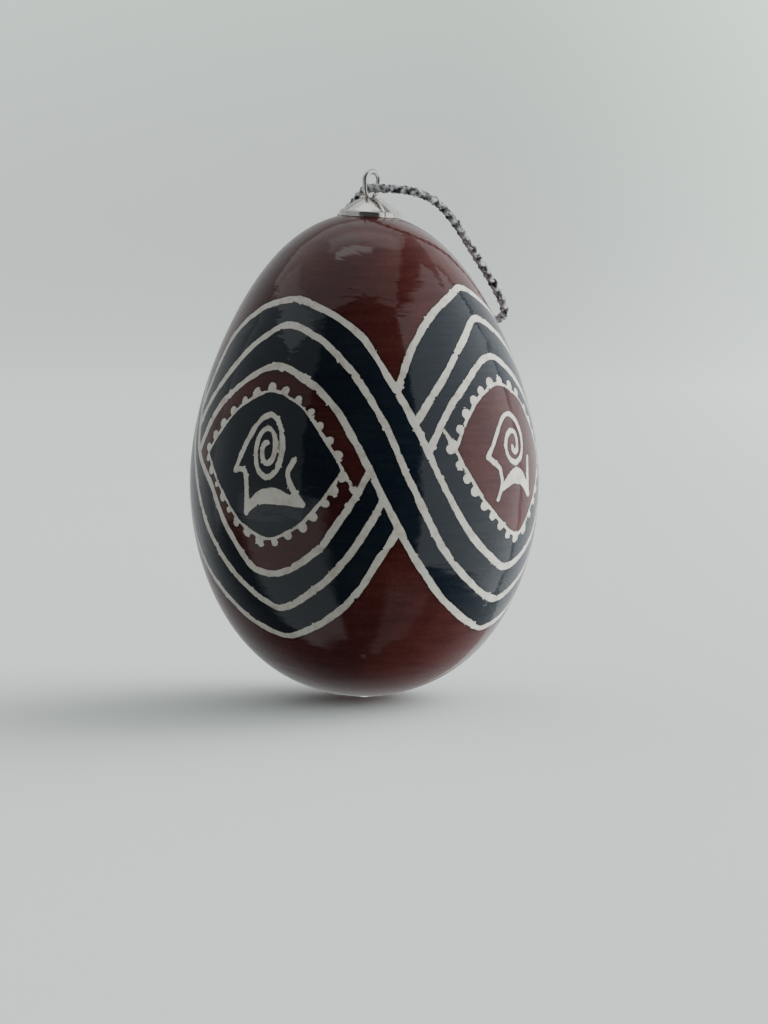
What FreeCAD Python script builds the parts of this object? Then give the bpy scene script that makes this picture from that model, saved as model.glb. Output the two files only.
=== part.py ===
"""Hanging pysanka: a blown hen's egg with a bead cap, a spring-wire eye and a cord loop.

Millimetres, +Z up. The origin is the egg's lower pole, where it sits in a ring or an egg cup.
The egg is a body of revolution about Z. The hanger stands on a line of its own, which leans
a little to +X through the crown's centre of curvature, so the cap lies flat on the shell.
"""

import FreeCAD, Part
import math
import os

from FreeCAD import Placement, Rotation, Vector

# Egg
EGG_LENGTH = 60.0
EGG_BELLY_R = 21.42
EGG_TAPER = (-0.139, -0.068, 0.017, 0.122)  # polynomial in the height, -1 at the foot, +1 at the crown
EGG_OUTLINE_POINTS = 13
POLE_STEP = 0.001  # radians from a pole at which the outline's rate is taken
SHELL_WALL = 0.38
MEMBRANE_WALL = 0.07
MEMBRANE_GAP = 0.02
BLOW_HOLE_R = 1.9
BLOW_HOLE_DEPTH = 2.0

# Hanger: its own line, and which way the eye faces
HANGER_LEAN_DEG = 3.2
EYE_TURN_DEG = 36.0
CROWN_R = (EGG_BELLY_R * (1 + sum(EGG_TAPER))) ** 2 / (EGG_LENGTH / 2)

# Bead cap, measured along the hanger's line from the crown
CAP_RIM_R = 3.8
CAP_RIM_DROP = 0.75
CAP_LIP_Z = 0.02
CAP_LIP_ROUND = 0.12
CAP_WAIST = (2.5, 1.02)
CAP_SHOULDER = (1.25, 1.77)
CAP_TOP_R = 1.08
CAP_TOP_Z = 1.85
CAP_SHEET = 0.22
CAP_SLOPE_SHARE = 1.15  # the sheet's upright thickness on the sloping cone, over its own

# Spring wire
WIRE_D = 0.70
LEG_X = 0.40
LEG_CLEARANCE = 0.11
EYE_LOW_R = 0.95
EYE_LOW_Z = 2.90
EYE_HIGH_R = 1.03
EYE_HIGH_Z = 4.00
EYE_NECK_R = 0.90
SPLAY_Z = -2.5
SPLAY_R = 4.0
SPLAY_DEG = 24.0
SPLAY_RUN = 6.0

# Cord: from the knot behind the shell, round its right shoulder, through the eye and back
CORD_D = 1.10
CORNER_SHARE = 0.45
CORD_ROUTE = [
    (-2.7, 21.5, 36.2),
    (-1.0, 21.0, 38.4),
    (1.8, 20.2, 40.5),
    (5.2, 18.9, 42.3),
    (9.0, 16.7, 43.9),
    (12.6, 13.3, 45.1),
    (15.6, 9.9, 46.0),
    (17.5, 6.3, 47.4),
    (15.9, 3.9, 51.4),
    (13.6, 2.1, 54.9),
    (11.4, 0.4, 58.5),
    (9.0, -1.1, 61.3),
    (5.9, -2.2, 62.6),
    (2.25, -1.86, 62.80),
    (0.14, 1.05, 62.92),
    (-1.2, 3.4, 61.1),
    (-2.8, 6.2, 59.5),
    (-4.2, 9.1, 57.2),
    (-5.1, 11.8, 54.2),
    (-5.6, 14.2, 50.8),
    (-5.7, 16.5, 47.1),
    (-5.4, 18.5, 43.2),
    (-4.7, 20.2, 39.6),
    (-3.9, 21.3, 36.3),
]

# Knot and its two short ends
KNOT_R = 1.55
KNOT_LENGTH = 3.6
KNOT_END_SHARE = 0.8  # radius of the knot's flat ends, over its middle
KNOT_CENTRE = (-3.5, 22.45, 34.6)
KNOT_AXIS = (-0.1, 0.3, -0.95)
END_ROUTES = [
    [(-3.9, 22.8, 33.4), (-4.5, 22.5, 30.7), (-4.6, 22.5, 27.4)],
    [(-3.0, 22.9, 33.4), (-2.3, 22.7, 31.0), (-1.4, 22.8, 28.9)],
]

UP = Vector(0, 0, 1)


def outline_point(angle, inset):
    """A point inset millimetres inside the egg's surface, at 0 for the foot to pi for the crown."""
    height = -math.cos(angle)
    shape = 1 + sum(c * height ** (k + 1) for k, c in enumerate(EGG_TAPER))
    slope = sum((k + 1) * c * height**k for k, c in enumerate(EGG_TAPER))
    radius = EGG_BELLY_R * math.sin(angle) * shape
    z = EGG_LENGTH / 2 * (1 + height)
    along_r = EGG_BELLY_R * (math.cos(angle) * shape + math.sin(angle) ** 2 * slope)
    along_z = EGG_LENGTH / 2 * math.sin(angle)
    speed = math.hypot(along_r, along_z)
    return Vector(radius - inset * along_z / speed, 0, z + inset * along_r / speed)


def egg_outline(inset):
    """The egg's outline from foot to crown, level at both poles."""
    angles = [math.pi * step / (EGG_OUTLINE_POINTS - 1) for step in range(EGG_OUTLINE_POINTS)]
    points = [outline_point(angle, inset) for angle in angles]
    points[0].x = 0
    points[-1].x = 0
    foot_rate = outline_point(POLE_STEP, inset).x / POLE_STEP
    crown_rate = outline_point(math.pi - POLE_STEP, inset).x / POLE_STEP
    curve = Part.BSplineCurve()
    curve.interpolate(
        Points=points,
        Parameters=angles,
        InitialTangent=Vector(foot_rate, 0, 0),
        FinalTangent=Vector(-crown_rate, 0, 0),
        Scale=False,
    )
    return curve


def egg_solid():
    """A whole egg out to the shell's surface."""
    outline = egg_outline(0)
    axis = Part.LineSegment(outline.EndPoint, outline.StartPoint)
    face = Part.Face(Part.Wire([outline.toShape(), axis.toShape()]))
    return face.revolve(Vector(), UP, 360)


def egg_skin(inset, wall):
    """A hollow egg with an even wall, inset from the shell's surface and open at the crown."""
    outside = egg_outline(inset)
    inside = egg_outline(inset + wall)
    crown = Part.LineSegment(outside.EndPoint, inside.EndPoint)
    foot = Part.LineSegment(inside.StartPoint, outside.StartPoint)
    edges = [curve.toShape() for curve in (outside, crown, inside, foot)]
    hole = Part.makeBox(BLOW_HOLE_R, 2, BLOW_HOLE_DEPTH, Vector(0, -1, EGG_LENGTH - BLOW_HOLE_DEPTH))
    section = Part.Face(Part.Wire(edges)).cut(hole)
    return section.Faces[0].revolve(Vector(), UP, 360).toNurbs()


def hanger_place(turn_deg=0.0):
    """From the hanger's own frame, with the crown at its origin, to the egg's frame."""
    pivot = Vector(0, 0, EGG_LENGTH - CROWN_R)
    lean = Rotation(Vector(0, 1, 0), HANGER_LEAN_DEG)
    turn = Rotation(UP, turn_deg)
    return Placement(pivot + lean.multVec(Vector(0, 0, CROWN_R)), lean.multiply(turn))


def egg_shell():
    return egg_skin(0, SHELL_WALL)


def shell_membrane():
    return egg_skin(SHELL_WALL + MEMBRANE_GAP, MEMBRANE_WALL)


def line(start, end):
    return Part.LineSegment(Vector(*start), Vector(*end)).toShape()


def arc(start, middle, end):
    return Part.Arc(Vector(*start), Vector(*middle), Vector(*end)).toShape()


def hanger_cap():
    """A pressed sheet cone with an upright lip, cut to sit on the crown."""
    rim_z = -CAP_RIM_DROP
    lip_r = CAP_RIM_R - CAP_LIP_ROUND
    lip_z = CAP_LIP_Z + CAP_LIP_ROUND
    bore = LEG_X + WIRE_D / 2 + LEG_CLEARANCE
    corner = CAP_LIP_ROUND * (1 - math.sqrt(0.5))
    under = CAP_SHEET * CAP_SLOPE_SHARE
    outline = [
        line((CAP_RIM_R, 0, rim_z), (CAP_RIM_R, 0, CAP_LIP_Z)),
        arc((CAP_RIM_R, 0, CAP_LIP_Z), (CAP_RIM_R - corner, 0, lip_z - corner), (lip_r, 0, lip_z)),
        arc((lip_r, 0, lip_z), (CAP_WAIST[0], 0, CAP_WAIST[1]), (CAP_SHOULDER[0], 0, CAP_SHOULDER[1])),
        line((CAP_SHOULDER[0], 0, CAP_SHOULDER[1]), (CAP_TOP_R, 0, CAP_TOP_Z)),
        line((CAP_TOP_R, 0, CAP_TOP_Z), (bore, 0, CAP_TOP_Z)),
        line((bore, 0, CAP_TOP_Z), (bore, 0, CAP_TOP_Z - under)),
        line((bore, 0, CAP_TOP_Z - under), (CAP_TOP_R, 0, CAP_TOP_Z - under)),
        arc(
            (CAP_TOP_R, 0, CAP_TOP_Z - under),
            (CAP_WAIST[0] - CAP_SHEET / 2, 0, CAP_WAIST[1] - CAP_SHEET),
            (CAP_RIM_R - CAP_SHEET, 0, lip_z - under),
        ),
        line((CAP_RIM_R - CAP_SHEET, 0, lip_z - under), (CAP_RIM_R - CAP_SHEET, 0, rim_z)),
        line((CAP_RIM_R - CAP_SHEET, 0, rim_z), (CAP_RIM_R, 0, rim_z)),
    ]
    cap = Part.Face(Part.Wire(outline)).revolve(Vector(), UP, 360)
    cap.Placement = hanger_place()
    return cap.cut(egg_solid())


def on_circle(centre_x, centre_z, radius, degrees):
    angle = math.radians(degrees)
    return (centre_x + radius * math.cos(angle), 0, centre_z + radius * math.sin(angle))


def mirrored(point):
    return (-point[0], point[1], point[2])


def half_wire():
    """Edges from the right leg's end up to the top of the eye, in the hanger's XZ plane."""
    neck_x = LEG_X + EYE_NECK_R
    neck_z = EYE_LOW_Z - math.sqrt((EYE_LOW_R + EYE_NECK_R) ** 2 - neck_x**2)
    neck_deg = math.degrees(math.atan2(EYE_LOW_Z - neck_z, neck_x))
    side_deg = -math.degrees(math.asin((EYE_HIGH_R - EYE_LOW_R) / (EYE_HIGH_Z - EYE_LOW_Z)))
    splay_x = LEG_X + SPLAY_R
    splay_end = on_circle(splay_x, SPLAY_Z, SPLAY_R, 180 + SPLAY_DEG)
    tip = (
        splay_end[0] + SPLAY_RUN * math.sin(math.radians(SPLAY_DEG)),
        0,
        splay_end[2] - SPLAY_RUN * math.cos(math.radians(SPLAY_DEG)),
    )
    splay_mid = on_circle(splay_x, SPLAY_Z, SPLAY_R, 180 + SPLAY_DEG / 2)
    neck_mid = on_circle(neck_x, neck_z, EYE_NECK_R, 180 - neck_deg / 2)
    neck_end = on_circle(0, EYE_LOW_Z, EYE_LOW_R, -neck_deg)
    low_mid = on_circle(0, EYE_LOW_Z, EYE_LOW_R, (side_deg - neck_deg) / 2)
    low_end = on_circle(0, EYE_LOW_Z, EYE_LOW_R, side_deg)
    high_start = on_circle(0, EYE_HIGH_Z, EYE_HIGH_R, side_deg)
    high_mid = on_circle(0, EYE_HIGH_Z, EYE_HIGH_R, (side_deg + 90) / 2)
    top = on_circle(0, EYE_HIGH_Z, EYE_HIGH_R, 90)
    return [
        (tip, splay_end),
        (splay_end, splay_mid, (LEG_X, 0, SPLAY_Z)),
        ((LEG_X, 0, SPLAY_Z), (LEG_X, 0, neck_z)),
        ((LEG_X, 0, neck_z), neck_mid, neck_end),
        (neck_end, low_mid, low_end),
        (low_end, high_start),
        (high_start, high_mid, top),
    ]


def edge_through(points):
    return line(*points) if len(points) == 2 else arc(*points)


def swept_tube(path, diameter):
    """A round bar along a wire of tangent edges."""
    first = path.Edges[0]
    start = first.valueAt(first.FirstParameter)
    section = Part.makeCircle(diameter / 2, start, first.tangentAt(first.FirstParameter))
    return path.makePipeShell([Part.Wire([section])], True, False)


def hanger_wire():
    """One bent wire: two sprung legs inside the shell and a pear-shaped eye above the cap."""
    right = half_wire()
    left = [tuple(mirrored(point) for point in reversed(points)) for points in reversed(right)]
    path = Part.Wire([edge_through(points) for points in right + left])
    wire = swept_tube(path, WIRE_D)
    wire.Placement = hanger_place(EYE_TURN_DEG)
    return wire


def rounded_path(points):
    """Straight runs joined by tangent arcs as large as each pair of runs allows."""
    route = [Vector(*point) for point in points]
    edges = []
    start = route[0]
    for before, corner, after in zip(route, route[1:], route[2:]):
        back = before - corner
        ahead = after - corner
        reach = CORNER_SHARE * min(back.Length, ahead.Length)
        half_turn = (math.pi - back.getAngle(ahead)) / 2
        radius = reach / math.tan(half_turn)
        back.normalize()
        ahead.normalize()
        inward = (back + ahead).normalize()
        arc_start = corner + back * reach
        arc_end = corner + ahead * reach
        arc_middle = corner + inward * (radius / math.cos(half_turn) - radius)
        edges.append(Part.LineSegment(start, arc_start).toShape())
        edges.append(Part.Arc(arc_start, arc_middle, arc_end).toShape())
        start = arc_end
    edges.append(Part.LineSegment(start, route[-1]).toShape())
    return Part.Wire(edges)


def cord_loop():
    """The cord from knot to knot, as a plain tube."""
    path = rounded_path(CORD_ROUTE)
    tube = swept_tube(path, CORD_D)
    radii = [edge.Curve.Radius for edge in path.Edges if hasattr(edge.Curve, "Radius")]
    print("cord radii", " ".join(f"{radius:.1f}" for radius in radii))
    expected = math.pi * CORD_D**2 / 4 * path.Length
    print(f"cord length {path.Length:.1f}, volume {tube.Volume:.2f}, section x length {expected:.2f}")
    return tube


def cord_knot(loop):
    """The overhand knot as a barrel with two short cord ends, cut to meet the loop face to face."""
    axis = Vector(*KNOT_AXIS).normalize()
    half = KNOT_LENGTH / 2
    end_r = KNOT_R * KNOT_END_SHARE
    bulge = [
        line((0, 0, -half), (end_r, 0, -half)),
        arc((end_r, 0, -half), (KNOT_R, 0, 0), (end_r, 0, half)),
        line((end_r, 0, half), (0, 0, half)),
        line((0, 0, half), (0, 0, -half)),
    ]
    knot = Part.Face(Part.Wire(bulge)).revolve(Vector(), UP, 360)
    knot.Placement = Placement(Vector(*KNOT_CENTRE), Rotation(UP, axis))
    for route in END_ROUTES:
        knot = knot.fuse(swept_tube(rounded_path(route), CORD_D))
    return knot.cut(loop)


def main():
    os.makedirs("parts", exist_ok=True)
    loop = cord_loop()
    nodes = {
        "egg_shell": egg_shell(),
        "shell_membrane": shell_membrane(),
        "hanger_cap": hanger_cap(),
        "hanger_wire": hanger_wire(),
        "cord_loop": loop,
        "cord_knot": cord_knot(loop),
    }
    for name, shape in nodes.items():
        shape.exportStep(f"parts/{name}.step")
        print(f"{name}: {len(shape.Solids)} solid, {shape.Volume:.1f} mm3, valid {shape.isValid()}")


main()
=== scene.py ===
import math

import bpy
import numpy as np
from mathutils import Matrix, Vector


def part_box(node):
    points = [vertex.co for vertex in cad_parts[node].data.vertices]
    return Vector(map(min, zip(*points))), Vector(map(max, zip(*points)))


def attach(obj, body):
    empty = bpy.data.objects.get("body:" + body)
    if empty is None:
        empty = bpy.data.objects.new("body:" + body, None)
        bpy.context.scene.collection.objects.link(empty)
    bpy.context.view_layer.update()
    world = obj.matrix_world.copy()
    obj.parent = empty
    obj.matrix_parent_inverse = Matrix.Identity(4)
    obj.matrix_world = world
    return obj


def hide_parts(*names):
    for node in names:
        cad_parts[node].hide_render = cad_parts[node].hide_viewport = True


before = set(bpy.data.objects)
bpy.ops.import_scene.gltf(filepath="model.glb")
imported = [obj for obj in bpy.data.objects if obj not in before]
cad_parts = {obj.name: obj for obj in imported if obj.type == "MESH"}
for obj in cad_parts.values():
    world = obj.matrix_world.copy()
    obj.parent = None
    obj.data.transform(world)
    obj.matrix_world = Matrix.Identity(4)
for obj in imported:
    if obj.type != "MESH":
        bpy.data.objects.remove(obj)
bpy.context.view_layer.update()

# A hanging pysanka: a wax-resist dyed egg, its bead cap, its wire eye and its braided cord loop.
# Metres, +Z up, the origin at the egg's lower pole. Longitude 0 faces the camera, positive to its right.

MM = 0.001

# Egg
EGG_TAPER = (-0.139, -0.068, 0.017, 0.122)  # polynomial in the height, -1 at the foot, +1 at the crown
EGG_BELLY_R = 21.42 * MM
EGG_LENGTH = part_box("egg_shell")[1][2]
SHELL_WALL = 0.38 * MM
BLOW_HOLE_R = 1.9 * MM
EGG_LONGITUDES = 480
PATTERN_FOOT, PATTERN_TOP = math.radians(38), math.radians(139)  # outline angles, 0 at the foot
PATTERN_ROWS = 166
POLE_ROWS = 16

# Hanger
HANGER_LEAN = math.radians(3.2)
EYE_TURN = math.radians(36.0)
CROWN_R = (EGG_BELLY_R * (1 + sum(EGG_TAPER))) ** 2 / (EGG_LENGTH / 2)

# Pattern: the two bands cross at this longitude and every quarter turn from it
CROSSING = 12.0
QUARTER = 90.0
HALF_TURN = 180.0
EYE_A_LON = -33.5
EYE_B_LON = 57.0
EYE_Z = 30.0

# Cord
CORD_ROUTE = [
    (-0.0027, 0.0215, 0.0362),
    (-0.0010, 0.0210, 0.0384),
    (0.0018, 0.0202, 0.0405),
    (0.0052, 0.0189, 0.0423),
    (0.0090, 0.0167, 0.0439),
    (0.0126, 0.0133, 0.0451),
    (0.0156, 0.0099, 0.0460),
    (0.0181, 0.0062, 0.0471),
    (0.0159, 0.0039, 0.0514),
    (0.0136, 0.0021, 0.0549),
    (0.0114, 0.0004, 0.0585),
    (0.0090, -0.0011, 0.0613),
    (0.0059, -0.0022, 0.0626),
    (0.00225, -0.00186, 0.06280),
    (0.00014, 0.00105, 0.06292),
    (-0.0012, 0.0034, 0.0611),
    (-0.0028, 0.0062, 0.0595),
    (-0.0042, 0.0091, 0.0572),
    (-0.0051, 0.0118, 0.0542),
    (-0.0056, 0.0142, 0.0508),
    (-0.0057, 0.0165, 0.0471),
    (-0.0054, 0.0185, 0.0432),
    (-0.0047, 0.0202, 0.0396),
    (-0.0039, 0.0213, 0.0363),
]
KNOT_CENTRE = Vector((-0.0035, 0.02245, 0.0346))
KNOT_AXIS = Vector((-0.1, 0.3, -0.95)).normalized()


# ---------------------------------------------------------------- camera and meshes

CAMERA_PLACE = (0.00244, -0.4252, 0.0593)
CAMERA_DIP = math.radians(4.9)
CAMERA_LENS = 120.94
CAMERA_SENSOR = 36.0
CAMERA_CLIP = (0.02, 20.0)


def make_camera():
    """The camera stands level with the crown and looks down a little."""
    data = bpy.data.cameras.new("camera")
    data.lens = CAMERA_LENS
    data.sensor_width = CAMERA_SENSOR
    data.clip_start, data.clip_end = CAMERA_CLIP
    camera = bpy.data.objects.new("camera", data)
    camera.location = CAMERA_PLACE
    camera.rotation_euler = (math.pi / 2 - CAMERA_DIP, 0.0, 0.0)
    bpy.context.scene.collection.objects.link(camera)
    bpy.context.scene.camera = camera


def add_object(name, vertices, faces):
    """A smooth-shaded mesh object in the scene."""
    mesh = bpy.data.meshes.new(name)
    mesh.from_pydata([tuple(v) for v in vertices], [], faces)
    mesh.validate()
    mesh.shade_smooth()
    piece = bpy.data.objects.new(name, mesh)
    bpy.context.scene.collection.objects.link(piece)
    return piece


def ring_faces(rows, columns, closed_rows=False):
    """Quads of a grid whose columns close on themselves, as (row, column) indices row by row."""
    faces = []
    for row in range(rows if closed_rows else rows - 1):
        here = row * columns
        above = (row + 1) % rows * columns
        for column in range(columns):
            beside = (column + 1) % columns
            faces.append((here + column, here + beside, above + beside, above + column))
    return faces


def revolved(name, profile, columns):
    """An open surface of revolution about Z from a profile of (radius, height) points."""
    angles = np.arange(columns) * 2 * math.pi / columns
    vertices = [(r * math.cos(a), r * math.sin(a), height) for r, height in profile for a in angles]
    return add_object(name, vertices, ring_faces(len(profile), columns))


# ---------------------------------------------------------------- node graphs

class Graph:
    """The node tree of a material or world, with short calls for the nodes that they share."""

    def __init__(self, owner, shader="Principled BSDF"):
        owner.use_nodes = True
        self.owner = owner
        self.tree = owner.node_tree
        self.shader = self.tree.nodes[shader]

    def node(self, kind, inputs=None, **settings):
        made = self.tree.nodes.new(kind)
        for key, value in settings.items():
            setattr(made, key, value)
        for key, value in (inputs or {}).items():
            self.feed(made.inputs[key], value)
        return made

    def feed(self, socket, value):
        if isinstance(value, bpy.types.NodeSocket):
            self.tree.links.new(value, socket)
        elif isinstance(value, bpy.types.Node):
            self.tree.links.new(value.outputs[0], socket)
        else:
            socket.default_value = value

    def math(self, operation, *values):
        made = self.node("ShaderNodeMath", operation=operation)
        for socket, value in zip(made.inputs, values):
            self.feed(socket, value)
        return made.outputs[0]

    def lowest(self, *values):
        result = values[0]
        for value in values[1:]:
            result = self.math("MINIMUM", result, value)
        return result

    def highest(self, *values):
        result = values[0]
        for value in values[1:]:
            result = self.math("MAXIMUM", result, value)
        return result

    def field(self, name, vector=False):
        made = self.node("ShaderNodeAttribute", attribute_name=name)
        if not vector:
            return made.outputs["Fac"]
        split = self.node("ShaderNodeSeparateXYZ", {"Vector": made.outputs["Vector"]})
        return split.outputs["X"], split.outputs["Y"], split.outputs["Z"]

    def place(self, scale=(1.0, 1.0, 1.0)):
        coords = self.node("ShaderNodeTexCoord").outputs["Object"]
        return self.node("ShaderNodeMapping", {"Vector": coords, "Scale": scale}).outputs[0]

    def noise(self, vector, scale, detail=3.0, roughness=0.5, distortion=0.0):
        inputs = {"Vector": vector, "Scale": scale, "Detail": detail}
        inputs.update({"Roughness": roughness, "Distortion": distortion})
        return self.node("ShaderNodeTexNoise", inputs).outputs["Fac"]

    def remap(self, value, low, high, to_low=0.0, to_high=1.0, smooth=True):
        kind = "SMOOTHSTEP" if smooth else "LINEAR"
        inputs = {"Value": value, "From Min": low, "From Max": high, "To Min": to_low, "To Max": to_high}
        return self.node("ShaderNodeMapRange", inputs, interpolation_type=kind).outputs[0]

    def blend(self, amount, first, second, mode="MIX"):
        made = self.node("ShaderNodeMix", data_type="RGBA", blend_type=mode)
        self.feed(made.inputs[0], amount)
        self.feed(made.inputs[6], first)
        self.feed(made.inputs[7], second)
        return made.outputs[2]

    def bump(self, height, strength, distance):
        inputs = {"Height": height, "Strength": strength, "Distance": distance}
        return self.node("ShaderNodeBump", inputs).outputs[0]

    def set(self, **values):
        for key, value in values.items():
            self.feed(self.shader.inputs[key.replace("_", " ")], value)


# ---------------------------------------------------------------- egg shape

def egg_shape(height):
    return 1 + sum(c * height ** (k + 1) for k, c in enumerate(EGG_TAPER))


def egg_radius(z):
    """The egg's radius at a height above its lower pole."""
    height = np.clip(np.asarray(z) / (EGG_LENGTH / 2) - 1, -1, 1)
    return EGG_BELLY_R * np.sqrt(1 - height**2) * egg_shape(height)


def outline_at(angle, inset=0.0):
    """A point (radius, height) of the outline. The angle runs from 0 at the foot to pi at the crown."""
    height = -np.cos(angle)
    slope = sum((k + 1) * c * height**k for k, c in enumerate(EGG_TAPER))
    radius = EGG_BELLY_R * np.sin(angle) * egg_shape(height)
    z = EGG_LENGTH / 2 * (1 + height)
    along_r = EGG_BELLY_R * (np.cos(angle) * egg_shape(height) + np.sin(angle) ** 2 * slope)
    along_z = EGG_LENGTH / 2 * np.sin(angle)
    speed = np.hypot(along_r, along_z)
    return radius - inset * along_z / speed, z + inset * along_r / speed


def crown_angle(radius):
    """The outline angle near the crown where the egg has that radius."""
    low, high = 0.75 * math.pi, math.pi
    for _ in range(50):
        middle = (low + high) / 2
        if outline_at(middle)[0] > radius:
            low = middle
        else:
            high = middle
    return low


def egg_angles():
    """Outline angles of the mesh rows: close together over the pattern, wider near the poles."""
    foot = np.linspace(0, PATTERN_FOOT, POLE_ROWS)[1:-1]
    band = np.linspace(PATTERN_FOOT, PATTERN_TOP, PATTERN_ROWS)
    crown = np.linspace(PATTERN_TOP, crown_angle(BLOW_HOLE_R), POLE_ROWS)[1:]
    return np.concatenate([foot, band, crown])


# ---------------------------------------------------------------- pattern fields

def smooth_curve(points, at):
    """A curve through (x, y) points with no overshoot, level at its first and last point."""
    xs, ys = np.array(points, float).T
    steps = np.diff(xs)
    slopes = np.diff(ys) / steps
    tangents = np.zeros(len(xs))
    for k in range(1, len(xs) - 1):
        before, after = slopes[k - 1], slopes[k]
        if before * after > 0:
            w_before = 2 * steps[k] + steps[k - 1]
            w_after = steps[k] + 2 * steps[k - 1]
            tangents[k] = (w_before + w_after) / (w_before / before + w_after / after)
    k = np.clip(np.searchsorted(xs, at, side="right") - 1, 0, len(steps) - 1)
    t = (at - xs[k]) / steps[k]
    rise = t * t * (3 - 2 * t)
    start = t * (1 - t) ** 2
    end = t * t * (t - 1)
    return ys[k] + rise * (ys[k + 1] - ys[k]) + steps[k] * (start * tangents[k] + end * tangents[k + 1])


# Each band has three wax lines. It falls from the top of one eye to the foot of the next in front of
# the other band, then rises behind it. Degrees from the middle of each crossing, and millimetres up.
FALLING_ONE = (
    [(-45, 49.5), (-30, 48.3), (-14, 45.5), (0, 38.6), (5.5, 34.7), (14, 27.8), (23, 22.5), (33, 19.2)],
    [(-45, 46.5), (-31, 45.1), (-17, 41.4), (-5, 35.0), (3, 28.1), (15, 20.0), (28, 15.7), (38, 13.8)],
    [(-45, 41.6), (-32, 39.9), (-22, 37.0), (-13, 31.8), (-5.5, 26.1), (5.5, 18.8), (18.6, 13.5), (33, 10.7)],
)
RISING_ONE = (
    [(-45, 17.2), (-27, 20.0), (-20, 23.3), (-10, 29.3), (2, 36.7), (10.5, 44.8), (20.5, 47.5), (31, 48.9)],
    [(-45, 13.2), (-27, 15.7), (-18, 18.9), (-8, 24.7), (6, 35.1), (18, 40.2), (31, 44.4)],
    [(-45, 9.5), (-35, 10.0), (-21, 12.6), (-14, 15.0), (-7, 18.9), (-1, 22.7), (10, 32.0), (22, 37.6)],
)
FALLING_TWO = (
    [(-45, 50.8), (-30, 49.2), (-14, 45.8), (0, 37.4), (7, 31.6), (20, 26.9), (28, 22.1), (40, 17.2)],
    [(-45, 47.1), (-31, 45.4), (-17, 41.4), (-5, 35.1), (6, 28.4), (16, 21.7), (31, 15.5), (40, 13.4)],
    [(-45, 42.6), (-32, 40.5), (-22, 37.0), (-13, 32.0), (-5, 25.4), (2, 19.3), (17.5, 13.5), (32, 10.3)],
)
RISING_TWO = (
    [(-45, 16.9), (-27, 20.0), (-20.5, 23.1), (-9.5, 29.8), (0, 38.8), (6, 43.2), (19, 47.6), (32, 49.6)],
    [(-45, 12.7), (-27, 15.7), (-18, 18.9), (-9.5, 23.5), (6, 35.1), (18, 40.2), (31, 44.4)],
    [(-45, 9.1), (-35, 10.0), (-21, 12.6), (-14, 15.0), (-7, 18.9), (-1.4, 22.3), (10, 32.0), (22, 37.9)],
)


def band_line(falling, rising, crossing, longitude):
    """The height in metres of one wax line of a band that falls through that crossing."""
    top = falling[0][1]
    points = falling + [(x + QUARTER, y) for x, y in rising] + [(HALF_TURN - QUARTER / 2, top)]
    along = np.mod(longitude - crossing + QUARTER / 2, HALF_TURN) - QUARTER / 2
    return smooth_curve(points, along) * MM


def line_distance(falling, rising, crossing, longitude, z, radius, slant):
    """The distance over the shell to a wax line in millimetres, positive above it."""
    step = 0.1
    line_z = band_line(falling, rising, crossing, longitude)
    ahead = band_line(falling, rising, crossing, longitude + step)
    turn = np.maximum(radius, 0.01 * MM) * math.radians(step)
    slope = (ahead - line_z) / turn
    return (z - line_z) / np.sqrt((1 / slant) ** 2 + slope**2) / MM


def band_field(falling, rising, crossing, longitude, z, radius, slant):
    """The distances to a band's three wax lines, one column each."""
    lines = [line_distance(f, r, crossing, longitude, z, radius, slant) for f, r in zip(falling, rising)]
    return np.stack(lines, axis=1)


def on_egg(longitude, z):
    """Points on the shell in millimetres from degrees and millimetres."""
    angle = np.radians(longitude)
    radius = egg_radius(np.asarray(z) * MM) / MM
    return np.stack([radius * np.sin(angle), -radius * np.cos(angle), np.asarray(z, float)], axis=-1)


def stroke_distance(points, path, half_widths):
    """The distance from points to a stroke along a 3-D path whose half width varies, negative inside."""
    nearest = np.full(len(points), np.inf)
    widths = np.broadcast_to(half_widths, len(path))
    for start, end, w_start, w_end in zip(path, path[1:], widths, widths[1:]):
        along = end - start
        length = along @ along + 1e-12
        t = np.clip((points - start) @ along / length, 0, 1)
        gap = np.linalg.norm(points - start - t[:, None] * along, axis=1)
        nearest = np.minimum(nearest, gap - (w_start + t * (w_end - w_start)))
    return nearest


# Outline of an eye, as its upper and lower arc. Each may run on past the corner. Degrees and millimetres.
EYE_A_ARCS = (
    [(-61.7, 31.0), (-55.2, 33.8), (-45.6, 37.0), (-33.5, 38.7), (-22.8, 37.3), (-14.1, 34.0), (-6.3, 29.5),
     (-2.6, 27.0)],
    [(-61.7, 31.0), (-50.6, 25.9), (-42.0, 22.6), (-32.5, 21.2), (-22.3, 22.6), (-13.6, 25.7), (-6.3, 29.5)],
)
EYE_A_CORNERS = (-61.7, -6.3)
EYE_B_ARCS = (
    [(31.1, 31.8), (36.8, 35.2), (44.3, 37.8), (56.0, 39.3), (69.7, 37.4), (76.4, 34.2), (83.0, 30.3)],
    [(27.2, 34.2), (31.1, 31.8), (36.0, 28.6), (42.7, 25.3), (61.0, 21.1), (71.5, 24.6), (83.0, 30.3)],
)
EYE_B_CORNERS = (31.1, 83.0)
BORDER_HALF = 0.18
TAIL_HALF = 0.24
TAIL_END_HALF = 0.50
TAIL_BARE = 2.6  # degrees of tail that hold a bead, before the outline's first corner
LAST_BEAD = 0.5  # degrees past its last corner
BEAD_R = 0.55
BEAD_SPACING = 2.0
BEAD_OUT = 0.45
EYE_REACH = 40.0  # degrees each side of an eye's middle that its fields cover
FAR = 30.0
ARC_STEP = 0.4


def arc_points(arc):
    """Longitudes and heights along an eye's arc."""
    longitudes = np.arange(arc[0][0], arc[-1][0], ARC_STEP)
    return longitudes, open_curve(arc, longitudes)


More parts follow.
